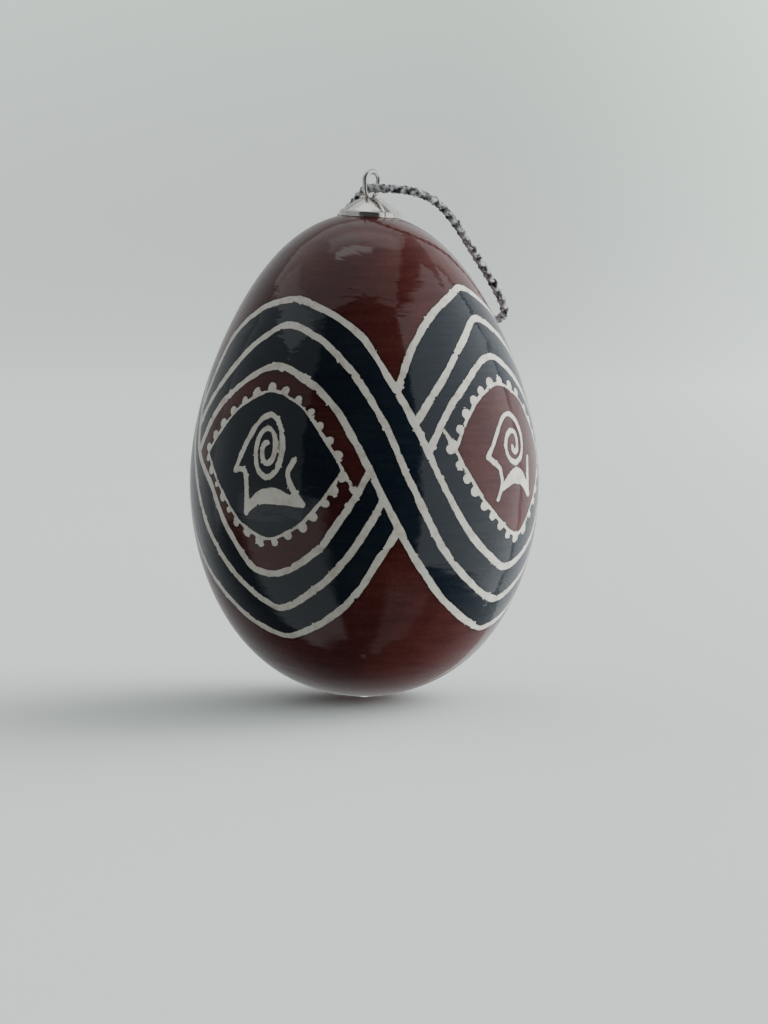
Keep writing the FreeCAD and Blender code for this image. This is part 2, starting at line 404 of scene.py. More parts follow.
def open_curve(points, at):
    """A smooth curve through points whose ends keep the slope of their first and last run."""
    xs, ys = np.array(points, float).T
    grid = np.concatenate([[2 * xs[0] - xs[1]], xs, [2 * xs[-1] - xs[-2]]])
    values = np.concatenate([[2 * ys[0] - ys[1]], ys, [2 * ys[-1] - ys[-2]]])
    return smooth_curve(list(zip(grid, values)), at)


def bead_centres(arc, outward, chance):
    """Evenly spaced half-round beads just outside an arc, each a little out of place."""
    longitudes, heights = arc_points(arc)
    path = on_egg(longitudes, heights)
    steps = np.linalg.norm(np.diff(path, axis=0), axis=1)
    along = np.concatenate([[0], np.cumsum(steps)])
    count = int(along[-1] / BEAD_SPACING)
    beads = []
    for k in range(count + 1):
        at = (k + 0.25) * along[-1] / (count + 0.5) + chance.uniform(-0.16, 0.16)
        longitude = np.interp(at, along, longitudes)
        height = np.interp(at, along, heights)
        slope = np.interp(at + 0.3, along, heights) - np.interp(at - 0.3, along, heights)
        run = np.interp(at + 0.3, along, longitudes) - np.interp(at - 0.3, along, longitudes)
        reach = egg_radius(height * MM) / MM * math.radians(1)
        normal = np.array([-slope, run * reach]) * outward
        out = normal / np.linalg.norm(normal) * (BEAD_OUT + chance.uniform(-0.08, 0.08))
        size = BEAD_R + chance.uniform(-0.09, 0.07)
        beads.append((longitude + out[0] / reach, height + out[1], size))
    return beads


def spiral_stroke(centre, turns, start_deg, width, height, width_step, height_step):
    """A tall spiral in local millimetres, growing evenly with each turn."""
    points = []
    count = int(turns * 26)
    for k in range(count + 1):
        turn = turns * k / count
        angle = math.radians(start_deg) + 2 * math.pi * turn
        points.append((
            centre[0] + (width + width_step * turn) * math.cos(angle),
            centre[1] + (height + height_step * turn) * math.sin(angle),
        ))
    return points


def rounded(points, steps=6):
    """A smooth line near given points, as a quadratic spline that keeps its two ends."""
    corners = [np.array(p, float) for p in points]
    if len(corners) < 3:
        return corners
    line = [corners[0]]
    for before, corner, after in zip(corners, corners[1:], corners[2:]):
        start = corners[0] if before is corners[0] else (before + corner) / 2
        end = corners[-1] if after is corners[-1] else (corner + after) / 2
        for k in range(1, steps + 1):
            t = k / steps
            line.append((1 - t) ** 2 * start + 2 * t * (1 - t) * corner + t * t * end)
    return line


# The figure in each eye, as strokes in millimetres from its middle, each with its half width.
STROKE_HALF = 0.345
CRESCENT = "crescent"
MOTIF_SQUASH = 0.97
MOTIF_A = (
    (spiral_stroke((0.3, 1.9), 2.0, 90, 0.42, 0.80, 0.98, 1.72)
     + [(-0.8, 5.7), (-1.8, 4.6), (-2.9, 2.7), (-3.8, 0.8), (-4.45, -0.8)], STROKE_HALF),
    (rounded([(-4.45, -0.85), (-2.8, -0.3), (-2.6, -2.2), (-2.4, -4.4), (-2.6, -6.0)]), STROKE_HALF),
    (rounded([(-2.4, -5.5), (-1.0, -4.1), (1.2, -3.6), (3.7, -4.3), (5.2, -4.7)]), CRESCENT),
    (rounded([(5.1, -4.6), (4.0, -3.1), (3.2, -1.0), (3.4, -0.4), (4.2, 0.8)]), STROKE_HALF),
)
MOTIF_B = (
    (rounded([(0.2, 1.8), (0.3, 1.2), (1.2, 1.0), (1.7, 2.3), (1.4, 3.5), (0.4, 3.9),
              (-0.8, 3.2), (-1.3, 1.8), (-0.8, 0.3), (0.7, -0.3), (2.2, 0.4), (3.0, 2.0),
              (2.9, 3.9), (1.8, 5.4), (0.3, 6.0), (-1.3, 5.3), (-2.5, 3.8), (-3.7, 2.1),
              (-4.8, 0.7)]), STROKE_HALF * 0.82),
    (rounded([(-4.8, 0.7), (-3.0, -0.3), (-2.5, -1.4), (-2.4, -3.0), (-3.2, -4.6)]), STROKE_HALF * 0.88),
    (rounded([(-2.3, -3.2), (-0.9, -2.1), (0.9, -1.7), (2.6, -2.6), (3.9, -4.3)]), CRESCENT),
    (rounded([(3.9, -4.2), (3.6, -2.2), (4.2, 0.3)]), STROKE_HALF * 0.85),
)


def crescent_widths(count):
    """Half widths along the crescent: narrow at its horns, full in the middle."""
    horn, fullest = 0.42, 0.95
    t = np.linspace(0, 1, count)
    return horn + (fullest - horn) * np.sin(math.pi * t) ** 1.3


def eye_fields(points, longitude, z, middle, shift, arcs, corners, motif, seed):
    """Signed distances near an eye: to its outline, and to its tails, beads and figure.

    The eye is drawn round the longitude middle, and is then shifted by some degrees round the egg.
    """
    chance = np.random.default_rng(seed)
    eye_lon = middle + shift
    local = np.mod(longitude - eye_lon + HALF_TURN, 2 * HALF_TURN) - HALF_TURN
    near = np.abs(local) < EYE_REACH
    spot = points[near]
    local = local[near]
    lines = []
    wax = np.full(len(spot), np.inf)
    for arc, outward in zip(arcs, (1, -1)):
        longitudes, heights = arc_points(arc)
        path = on_egg(longitudes + shift, heights)
        lines.append(path)
        beyond = (longitudes < corners[0]) | (longitudes > corners[1])
        widths = np.where(beyond, TAIL_HALF, BORDER_HALF)
        if beyond[-1]:
            widths[-2:] = TAIL_END_HALF
        wax = np.minimum(wax, stroke_distance(spot, path, widths))
        for bead_lon, bead_z, bead_r in bead_centres(arc, outward, chance):
            if not corners[0] - TAIL_BARE <= bead_lon <= corners[1] + LAST_BEAD:
                continue
            centre = on_egg(bead_lon + shift, bead_z)
            wax = np.minimum(wax, np.linalg.norm(spot - centre, axis=1) - bead_r)
    within = (local + middle > corners[0]) & (local + middle < corners[1])
    height = z[near] / MM
    below_top = height < open_curve(arcs[0], local + middle)
    above_foot = height > open_curve(arcs[1], local + middle)
    inside = within & below_top & above_foot
    outline = np.minimum(*[stroke_distance(spot, path, 0.0) for path in lines])
    outline = np.where(inside, -outline, outline)
    centre_r = egg_radius(EYE_Z * MM) / MM
    for stroke, half in motif:
        local_points = np.array(stroke, float)
        heights = EYE_Z + local_points[:, 1] * MOTIF_SQUASH
        longitudes = eye_lon + np.degrees(local_points[:, 0] / centre_r)
        if half == CRESCENT:
            half = crescent_widths(len(local_points))
        wax = np.minimum(wax, stroke_distance(spot, on_egg(longitudes, heights), half))
    return near, outline, wax


def shell_fields(longitude, z):
    """Every field that the dyed shell's material reads, one value for each vertex."""
    radius = egg_radius(z)
    step = 0.05 * MM
    slope = (egg_radius(z + step) - egg_radius(z - step)) / (2 * step)
    slant = np.sqrt(1 + slope**2)
    one = band_field(FALLING_ONE, RISING_ONE, CROSSING, longitude, z, radius, slant)
    two = band_field(FALLING_TWO, RISING_TWO, CROSSING - QUARTER, longitude, z, radius, slant)
    points = on_egg(longitude, z / MM)
    eye = np.full(len(z), FAR)
    wax = np.full(len(z), FAR)
    eyes = [(EYE_A_LON, EYE_A_ARCS, EYE_A_CORNERS, MOTIF_A), (EYE_B_LON, EYE_B_ARCS, EYE_B_CORNERS, MOTIF_B)]
    for side in range(2):
        for number, drawing in enumerate(eyes):
            middle, arcs, corners, motif = drawing
            shift = side * HALF_TURN
            seed = 11 + 2 * side + number
            near, outline, drawn = eye_fields(points, longitude, z, middle, shift, arcs, corners, motif, seed)
            eye[near] = np.where(np.abs(outline) < np.abs(eye[near]), outline, eye[near])
            wax[near] = np.minimum(wax[near], drawn)
    turn = 2 * np.radians(longitude)
    front = np.cos(turn - 2 * math.radians(CROSSING))
    kind = np.cos(turn - 2 * math.radians(EYE_A_LON))
    return {"band_one": one, "band_two": two, "front": front, "kind": kind, "eye_mm": eye, "wax_mm": wax}


def store(mesh, name, values):
    """Keeps one number or vector for each vertex, for the material to read."""
    values = np.asarray(values, np.float32)
    kind, key = ("FLOAT_VECTOR", "vector") if values.ndim == 2 else ("FLOAT", "value")
    layer = mesh.attributes.new(name, kind, "POINT")
    layer.data.foreach_set(key, values.ravel())


def make_egg():
    """The shell: outer skin with the pattern's fields, the blow hole's edge and the inner skin."""
    columns = EGG_LONGITUDES
    angles = egg_angles()
    outer = [outline_at(a) for a in angles]
    rim = outer[-1]
    inner_angles = np.linspace(angles[-1], math.radians(6), 13)
    inner = [outline_at(a, SHELL_WALL) for a in inner_angles]
    inner[0] = (rim[0], inner[0][1])
    profile = outer + inner
    turns = (np.arange(columns) + 0.5) * 2 * math.pi / columns - math.pi
    vertices = []
    for radius, height in profile:
        vertices += [(radius * math.sin(a), -radius * math.cos(a), height) for a in turns]
    faces = ring_faces(len(profile), columns)
    foot = len(vertices)
    vertices += [(0, 0, 0), (0, 0, SHELL_WALL)]
    last = (len(profile) - 1) * columns
    for k in range(columns):
        after = (k + 1) % columns
        faces.append((foot, after, k))
        faces.append((foot + 1, last + k, last + after))
    egg = add_object("dyed_egg_shell", vertices, faces)
    points = np.array(vertices)
    longitude = np.degrees(np.arctan2(points[:, 0], -points[:, 1]))
    for name, values in shell_fields(longitude, np.clip(points[:, 2], 0, EGG_LENGTH)).items():
        store(egg.data, name, values)
    skin = np.zeros(len(vertices))
    skin[len(outer) * columns:foot] = 1
    skin[foot + 1] = 1
    store(egg.data, "inner_skin", skin)
    egg.data.materials.append(dyed_shell_material())
    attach(egg, "egg")
    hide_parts("egg_shell")


# ---------------------------------------------------------------- materials

WAX_WHITE = (0.62, 0.60, 0.535, 1.0)
WAX_WARM = (0.46, 0.42, 0.345, 1.0)
BLACK_DYE = (0.0030, 0.0078, 0.0160, 1.0)
BLACK_WORN = (0.0080, 0.0145, 0.0215, 1.0)
RED_DYE = (0.0450, 0.0070, 0.0068, 1.0)
RED_WORN = (0.0730, 0.0160, 0.0130, 1.0)
SHELL_WHITE = (0.72, 0.66, 0.56, 1.0)
LINE_HALF = 0.43


def dyed_shell_material():
    """Wax-resist white lines on blue-black and red-brown dye, under an uneven clear varnish."""
    g = Graph(bpy.data.materials.new("dyed_shell"))
    coords = g.place()
    one = g.field("band_one", vector=True)
    two = g.field("band_two", vector=True)
    front = g.field("front")
    kind = g.field("kind")

    wobble = g.noise(coords, 750.0, 4.0, 0.6)
    waver = g.noise(coords, 260.0, 2.0, 0.5)
    nicks = g.noise(coords, 1100.0, 1.0, 0.5)
    fine = g.remap(wobble, 0.0, 1.0, -0.20, 0.20, False)
    ragged = g.math("ADD", fine, g.remap(waver, 0.0, 1.0, -0.15, 0.15, False))
    ragged = g.math("ADD", ragged, g.remap(nicks, 0.66, 0.74, 0.0, 0.16))
    ragged = g.math("ADD", ragged, g.remap(nicks, 0.34, 0.26, 0.0, -0.18))

    def inside(band):
        """Positive within a band, in millimetres to its nearer edge line."""
        return g.math("MINIMUM", g.math("MULTIPLY", band[0], -1.0), band[2])

    def lines(band):
        """Distance to the nearest edge of the band's three wax lines, negative on them."""
        nearest = g.lowest(*[g.math("ABSOLUTE", distance) for distance in band])
        return g.math("SUBTRACT", nearest, LINE_HALF)

    in_one = inside(one)
    in_two = inside(two)
    one_behind = g.math("LESS_THAN", front, 0.0)
    two_behind = g.math("GREATER_THAN", front, 0.0)

    def hidden(band_lines, behind, cover):
        """The lines of a band, cut off where the other band covers it."""
        clear = 50.0
        covered = g.math("MULTIPLY_ADD", behind, g.math("ADD", cover, clear), -clear)
        return g.math("MAXIMUM", band_lines, covered)

    shown_one = hidden(lines(one), one_behind, in_two)
    shown_two = hidden(lines(two), two_behind, in_one)
    eye = g.field("eye_mm")
    border = g.math("SUBTRACT", g.math("ABSOLUTE", eye), BORDER_HALF)
    white = g.lowest(shown_one, shown_two, border, g.field("wax_mm"))
    white = g.math("ADD", white, ragged)
    wax_mask = g.remap(white, -0.05, 0.05, 1.0, 0.0)

    # Which dye: the bands and type A eyes are black, and so is the ground around type B eyes.
    in_band = g.highest(in_one, in_two)
    type_b = g.math("LESS_THAN", kind, 0.0)
    cell = g.math("MINIMUM", g.math("MULTIPLY", two[2], -1.0), one[0])
    in_cell_b = g.lowest(cell, eye, g.remap(type_b, 0.0, 1.0, -1.0, 1.0, False))
    in_eye_a = g.lowest(g.math("MULTIPLY", eye, -1.0), g.remap(type_b, 0.0, 1.0, 1.0, -1.0, False))
    dark = g.highest(in_band, in_cell_b, in_eye_a)
    dark_mask = g.remap(g.math("ADD", dark, g.remap(wobble, 0.0, 1.0, -0.1, 0.1, False)), -0.04, 0.04)

    # Dye: brushed unevenly round the egg, thinner in patches, darker in the pores and beside the wax.
    streaks = g.noise(g.place((1.0, 1.0, 9.0)), 210.0, 5.0, 0.6, 0.4)
    patches = g.noise(coords, 95.0, 4.0, 0.55)
    pores = g.noise(coords, 2600.0, 2.0, 0.5)
    wear = g.remap(g.math("MULTIPLY_ADD", streaks, 0.42, g.math("MULTIPLY", patches, 0.63)), 0.38, 0.68)
    red = g.blend(wear, RED_DYE, RED_WORN)
    black = g.blend(wear, BLACK_DYE, BLACK_WORN)
    dye = g.blend(dark_mask, red, black)
    beside = g.remap(white, 0.0, 0.45, 0.62, 1.0)
    grain = g.remap(pores, 0.25, 0.75, 0.84, 1.1)
    dye = g.blend(1.0, dye, g.math("MULTIPLY", beside, grain), "MULTIPLY")

    # Wax lines: bare shell, warmer where the dye has crept under, with a few stained specks.
    creep = g.remap(g.noise(coords, 620.0, 4.0, 0.65), 0.42, 0.72)
    bare = g.blend(creep, WAX_WHITE, WAX_WARM)
    stain = g.remap(g.noise(coords, 1500.0, 2.0, 0.5), 0.70, 0.80, 0.0, 0.55)
    bare = g.blend(stain, bare, RED_WORN)
    colour = g.blend(wax_mask, dye, bare)
    colour = g.blend(g.field("inner_skin"), colour, SHELL_WHITE)

    relief = g.math("MULTIPLY_ADD", wax_mask, -0.35, g.math("MULTIPLY", pores, 0.25))
    base_normal = g.bump(relief, 0.35, 0.00004)
    brushing = g.noise(g.place((1.0, 1.0, 3.2)), 150.0, 3.0, 0.5, 0.3)
    runs = g.math("MULTIPLY_ADD", g.noise(coords, 420.0, 2.0, 0.5), 0.25, brushing)
    varnish = g.bump(runs, 0.55, 0.00016)
    dull = g.remap(streaks, 0.3, 0.75, 0.30, 0.44)
    g.set(Base_Color=colour, Roughness=dull, Normal=base_normal, Coat_Normal=varnish)
    g.set(Coat_Weight=1.0, Coat_Roughness=0.04, Coat_IOR=1.5, Specular_IOR_Level=0.06)
    return g.owner


def membrane_material():
    """Dry shell membrane: thin matted fibres, yellowed in patches."""
    g = Graph(bpy.data.materials.new("membrane"))
    coords = g.place()
    fibres = g.noise(g.place((1.0, 5.0, 1.0)), 900.0, 6.0, 0.7, 1.5)
    patches = g.noise(coords, 120.0, 3.0, 0.5)
    tint = g.remap(g.math("MULTIPLY_ADD", fibres, 0.6, g.math("MULTIPLY", patches, 0.4)), 0.35, 0.65)
    g.set(Base_Color=g.blend(tint, (0.62, 0.55, 0.42, 1.0), (0.80, 0.76, 0.66, 1.0)))
    g.set(Roughness=g.remap(fibres, 0.2, 0.8, 0.55, 0.8), Normal=g.bump(fibres, 0.6, 0.00005))
    return g.owner


def plated_metal(name, bright, tarnished, scale, roughness):
    """Silver plating: fine drawing marks, faint tarnish in patches and small dings."""
    g = Graph(bpy.data.materials.new(name))
    coords = g.place()
    marks = g.noise(g.place(scale), 1400.0, 4.0, 0.6)
    patches = g.noise(coords, 520.0, 4.0, 0.6)
    dings = g.noise(coords, 1300.0, 2.0, 0.4)
    tarnish = g.remap(patches, 0.45, 0.75)
    g.set(Base_Color=g.blend(tarnish, bright, tarnished), Metallic=1.0)
    gloss = g.math("MULTIPLY_ADD", tarnish, 0.12, g.remap(marks, 0.3, 0.7, roughness, roughness + 0.09))
    height = g.math("MULTIPLY_ADD", marks, 0.3, g.math("MULTIPLY", dings, 0.7))
    g.set(Roughness=gloss, Normal=g.bump(height, 0.35, 0.00005))
    return g.owner


def yarn_material():
    """Metallised yarn: filaments that wind round each strand, coloured in near-white flecks as painted glints
    and near-black flecks as painted shade in the gaps between.
    """
    g = Graph(bpy.data.materials.new("metallic_yarn"))
    coords = g.place()
    along = g.field("strand_along")
    around = g.field("strand_around")
    twist = g.math("MULTIPLY_ADD", along, 5.5, around)
    filaments = g.math("SINE", g.math("MULTIPLY", twist, 2 * math.pi * 3))
    glint = g.noise(coords, 2300.0, 3.0, 0.6)
    crinkle = g.noise(coords, 1500.0, 2.0, 0.5)
    # Painted glints and painted shade: the colour swings from near-black flecks, for the shade in the gaps,
    # to near-white flecks, for glints.
    painted_glint_and_gap_shade = g.remap(g.math("MULTIPLY_ADD", filaments, 0.06, crinkle), 0.40, 0.53)
    g.set(Base_Color=g.blend(painted_glint_and_gap_shade, (0.075, 0.075, 0.085, 1.0), (0.98, 0.98, 0.99, 1.0)), Metallic=0.35)
    relief = g.math("MULTIPLY_ADD", crinkle, 3.0, filaments)
    g.set(Roughness=g.remap(glint, 0.35, 0.65, 0.36, 0.14), Normal=g.bump(relief, 0.8, 0.00006))
    return g.owner


# ---------------------------------------------------------------- hanger

def hanger_place(turn=0.0):
    """From the hanger's own frame, with the crown at its origin, to the egg's frame."""
    pivot = Matrix.Translation((0, 0, EGG_LENGTH - CROWN_R))
    crown = Matrix.Translation((0, 0, CROWN_R))
    return pivot @ Matrix.Rotation(HANGER_LEAN, 4, "Y") @ crown @ Matrix.Rotation(turn, 4, "Z")


def arc_through(start, middle, end, steps):
    """Points of a circular arc through three (radius, height) points, without its start."""
    (ax, ay), (bx, by), (cx, cy) = start, middle, end
    d = 2 * (ax * (by - cy) + bx * (cy - ay) + cx * (ay - by))
    a2, b2, c2 = ax * ax + ay * ay, bx * bx + by * by, cx * cx + cy * cy
    ux = (a2 * (by - cy) + b2 * (cy - ay) + c2 * (ay - by)) / d
    uy = (a2 * (cx - bx) + b2 * (ax - cx) + c2 * (bx - ax)) / d
    radius = math.hypot(ax - ux, ay - uy)
    first = math.atan2(ay - uy, ax - ux)
    sweep = math.atan2(cy - uy, cx - ux) - first
    sweep = (sweep + math.pi) % (2 * math.pi) - math.pi
    angles = [first + sweep * k / steps for k in range(1, steps + 1)]
    return [(ux + radius * math.cos(a), uy + radius * math.sin(a)) for a in angles]


# Bead cap: radii and heights along the hanger's line from the crown
CAP_RIM_R = 3.8 * MM
CAP_LIP_Z = 0.02 * MM
CAP_ROUND = 0.12 * MM
CAP_WAIST = (2.5 * MM, 1.02 * MM)
CAP_SHOULDER = (1.25 * MM, 1.77 * MM)
CAP_TOP_R = 1.08 * MM
CAP_TOP_Z = 1.85 * MM
CAP_BORE = 0.86 * MM
CAP_SHEET = 0.22 * MM
SEAM_DEG = -62.0
SEAM_HALF_WIDTH = 0.10 * MM
SEAM_DEPTH = 0.16 * MM


def make_cap():
    """The pressed cone with its rolled lip, and the butt seam that runs down one side of it."""
    foot_z = -(CROWN_R - math.sqrt(CROWN_R**2 - CAP_RIM_R**2))
    lip_r = CAP_RIM_R - CAP_ROUND
    lip_z = CAP_LIP_Z + CAP_ROUND
    corner = CAP_ROUND * (1 - math.sqrt(0.5))
    groove_z = lip_z + 0.02 * MM
    outer = [(CAP_RIM_R, foot_z + (CAP_LIP_Z - foot_z) * k / 6) for k in range(7)]
    outer += arc_through(outer[-1], (CAP_RIM_R - corner, lip_z - corner), (lip_r, lip_z), 6)
    outer += [(lip_r - 0.10 * MM, lip_z - 0.02 * MM)]
    outer += arc_through((lip_r - 0.10 * MM, groove_z), CAP_WAIST, CAP_SHOULDER, 22)
    outer += [(CAP_TOP_R + 0.06 * MM, CAP_TOP_Z - 0.02 * MM), (CAP_TOP_R, CAP_TOP_Z)]
    outer += [(CAP_BORE + 0.04 * MM, CAP_TOP_Z), (CAP_BORE, CAP_TOP_Z - 0.04 * MM)]
    under_r = CAP_RIM_R - CAP_SHEET
    inner = [(CAP_BORE, CAP_TOP_Z - CAP_SHEET), (CAP_TOP_R, CAP_TOP_Z - CAP_SHEET)]
    under_waist = (CAP_WAIST[0] - 0.11 * MM, CAP_WAIST[1] - CAP_SHEET)
    inner += arc_through(inner[-1], under_waist, (under_r, -0.09 * MM), 10)
    inner += [(under_r, foot_z + 0.06 * MM)]
    columns = 240
    seamed_rows = len(outer) - 2
    seam = math.radians(SEAM_DEG)
    angles = list(np.arange(columns) * 2 * math.pi / columns + seam)
    place = hanger_place()
    vertices = []
    for number, (radius, height) in enumerate(outer + inner):
        for angle in angles:
            off = radius * ((angle - seam + math.pi) % (2 * math.pi) - math.pi)
            cut = SEAM_DEPTH * max(0.0, 1 - (off / SEAM_HALF_WIDTH) ** 2) if number < seamed_rows else 0.0
            r = radius - cut * 0.75
            vertices.append(place @ Vector((r * math.cos(angle), r * math.sin(angle), height - cut * 0.4)))
    cap = add_object("bead_cap", vertices, ring_faces(len(outer + inner), columns, closed_rows=True))
    cap.data.materials.append(
        plated_metal("bead_cap_plating", (0.90, 0.88, 0.83, 1.0), (0.72, 0.66, 0.55, 1.0), (1, 1, 6), 0.07)
    )
    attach(cap, "egg")
    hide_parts("hanger_cap")


def tube(path, radii, sides):
    """A closed round tube along a path: vertices, faces, and each vertex's place along and around."""
    path = [Vector(p) for p in path]
    side = None
    vertices, along, around = [], [], []
    travelled = 0.0
    radii = [float(r) for r in np.broadcast_to(radii, len(path))]
    for k, point in enumerate(path):
        ahead = path[min(k + 1, len(path) - 1)] - path[max(k - 1, 0)]
        ahead.normalize()
        if side is None:
            side = ahead.orthogonal()
        side = (side - ahead * side.dot(ahead)).normalized()
        across = ahead.cross(side)
        travelled += (point - path[k - 1]).length if k else 0.0
        for n in range(sides):
            angle = 2 * math.pi * n / sides
            vertices.append(point + radii[k] * (math.cos(angle) * side + math.sin(angle) * across))
            along.append(travelled / MM)
            around.append(n / sides)
    faces = ring_faces(len(path), sides)
    faces.append(tuple(reversed(range(sides))))
    last = (len(path) - 1) * sides
    faces.append(tuple(range(last, last + sides)))
    return vertices, faces, along, around


WIRE_D = 0.70 * MM
LEG_X = 0.40 * MM
EYE_LOW_R = 0.95 * MM
EYE_LOW_Z = 2.90 * MM
EYE_HIGH_R = 1.03 * MM
EYE_HIGH_Z = 4.00 * MM
NECK_R = 0.90 * MM
SPLAY_Z = -2.5 * MM
SPLAY_R = 4.0 * MM
SPLAY = math.radians(24.0)
SPLAY_RUN = 6.0 * MM


def circle_run(centre, radius, start, end, steps):
    """Points of a circle's arc from one angle to another, both ends included."""
    angles = [start + (end - start) * k / steps for k in range(steps + 1)]
    return [(centre[0] + radius * math.cos(a), centre[1] + radius * math.sin(a)) for a in angles]


def make_wire():
    """One bent spring wire: the pear-shaped eye above the cap and two splayed legs in the shell."""
    neck_x = LEG_X + NECK_R
    neck_z = EYE_LOW_Z - math.sqrt((EYE_LOW_R + NECK_R) ** 2 - neck_x**2)
    neck = math.atan2(EYE_LOW_Z - neck_z, neck_x)
    side = -math.asin((EYE_HIGH_R - EYE_LOW_R) / (EYE_HIGH_Z - EYE_LOW_Z))
    splay_x = LEG_X + SPLAY_R
    splay_end = circle_run((splay_x, SPLAY_Z), SPLAY_R, math.pi, math.pi + SPLAY, 1)[1]
    tip = (splay_end[0] + SPLAY_RUN * math.sin(SPLAY), splay_end[1] - SPLAY_RUN * math.cos(SPLAY))
    half = [tuple(np.array(tip) + (np.array(splay_end) - tip) * k / 6) for k in range(6)]
    half += circle_run((splay_x, SPLAY_Z), SPLAY_R, math.pi + SPLAY, math.pi, 8)
    half += [(LEG_X, SPLAY_Z + (neck_z - SPLAY_Z) * k / 8) for k in range(1, 8)]
    half += circle_run((neck_x, neck_z), NECK_R, math.pi, math.pi - neck, 10)
    half += circle_run((0, EYE_LOW_Z), EYE_LOW_R, -neck, side, 12)[1:]
    half += circle_run((0, EYE_HIGH_Z), EYE_HIGH_R, side, math.pi / 2, 20)
    outline = half + [(-x, z) for x, z in reversed(half[:-1])]
    place = hanger_place(EYE_TURN)
    path = [place @ Vector((x, 0, z)) for x, z in outline]
    vertices, faces, _, _ = tube(path, WIRE_D / 2, 24)
    wire = add_object("eye_wire", vertices, faces)
    wire.data.materials.append(
        plated_metal("wire_plating", (0.86, 0.85, 0.82, 1.0), (0.58, 0.55, 0.49, 1.0), (1, 1, 1), 0.14)
    )
    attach(wire, "eye")
    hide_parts("hanger_wire")


# ---------------------------------------------------------------- cord

YARN_R = 0.28 * MM
BRAID_R = 0.27 * MM
BRAID_LIFT = 0.085 * MM
BRAID_PITCH = 2.7 * MM
BRAID_PAIRS = 2
BRAID_STEP = 0.12 * MM
CORE_R = 0.16 * MM
FRAY_SPREAD = 1.1 * MM
KNOT_TURNS = 3.0
KNOT_STEPS = 36
KNOT_HALF_LENGTH = 1.55 * MM
KNOT_COIL_R = 0.98 * MM


def spline_points(name, control_points):
    """Points of the smooth line that a clamped quadratic NURBS spline makes of its control points."""
    data = bpy.data.curves.new(name, "CURVE")
    data.dimensions = "3D"
    spline = data.splines.new("NURBS")
    spline.points.add(len(control_points) - 1)
    for point, place in zip(spline.points, control_points):
        point.co = (*place, 1.0)
    spline.order_u = 3
    spline.use_endpoint_u = True
    data.resolution_u = 24
    curve = bpy.data.objects.new(name, data)
    bpy.context.scene.collection.objects.link(curve)
    line = bpy.data.meshes.new_from_object(curve)
    points = [v.co.copy() for v in line.vertices]
    bpy.data.objects.remove(curve)
    bpy.data.curves.remove(data)
    bpy.data.meshes.remove(line)
    return points


def even_points(points, step):
    """The same line with points a fixed step apart."""
    cloud = np.array([tuple(p) for p in points])
    along = np.concatenate([[0], np.cumsum(np.linalg.norm(np.diff(cloud, axis=0), axis=1))])
    count = max(2, int(round(along[-1] / step)))
    at = np.linspace(0, along[-1], count + 1)
    return np.stack([np.interp(at, along, cloud[:, axis]) for axis in range(3)], axis=1)


def frames_along(points):
    """A direction and two steady side vectors at each point of a line."""
    frames = []
    side = None
    for k in range(len(points)):
        ahead = Vector(points[min(k + 1, len(points) - 1)] - points[max(k - 1, 0)]).normalized()
        if side is None:
            side = ahead.orthogonal()
        side = (side - ahead * side.dot(ahead)).normalized()
        frames.append((ahead, side, ahead.cross(side)))
    return frames


class Bundle:
    """Vertices and faces of many strands, gathered for one piece."""

    def __init__(self):
        self.vertices, self.faces, self.along, self.around = [], [], [], []

    def add(self, path, radii, sides):
        """One more strand."""
        vertices, faces, along, around = tube(path, radii, sides)
        first = len(self.vertices)
        self.vertices += vertices
        self.faces += [tuple(first + index for index in face) for face in faces]
        self.along += along
        self.around += around

    def piece(self, name, material):
        """The strands as one object."""
        made = add_object(name, self.vertices, self.faces)
        store(made.data, "strand_along", self.along)
        store(made.data, "strand_around", self.around)
        made.data.materials.append(material)
        return made


def braid(bundle, line, scale=1.0, fray=0.0, seed=1):
    """Strands plaited round a core, half of them each way. The last stretch may fray apart."""
    chance = np.random.default_rng(seed)
    points = even_points(line, BRAID_STEP)
    frames = frames_along(points)
    step = float(np.linalg.norm(points[1] - points[0]))
    total = step * (len(points) - 1)
    rate = 2 * math.pi / BRAID_PITCH
    for strand in range(2 * BRAID_PAIRS):
        way = 1 if strand % 2 else -1
        start = strand // 2 * 2 * math.pi / BRAID_PAIRS
        spread = chance.uniform(0.5, 1.4)
        short = chance.uniform(0.0, 0.45) * fray
        path = []
        for k, (point, (_, side, across)) in enumerate(zip(points, frames)):
            s = k * step
            if s > total - short:
                break
            lift = way * BRAID_LIFT * math.cos(BRAID_PAIRS * rate * s)
            loose = max(0.0, (s - total + fray) / fray) if fray else 0.0
            reach = (BRAID_R + lift) * scale + spread * FRAY_SPREAD * loose**1.6
            angle = way * rate * s * (1 - 0.15 * loose) + start
            place = Vector(point) + reach * (math.cos(angle) * side + math.sin(angle) * across)
            path.append(place)
        bundle.add(path, YARN_R * scale, 9)
    core = [Vector(p) for p in points[: int((total - 0.6 * fray) / step)]]
    bundle.add(core, CORE_R * scale, 8)


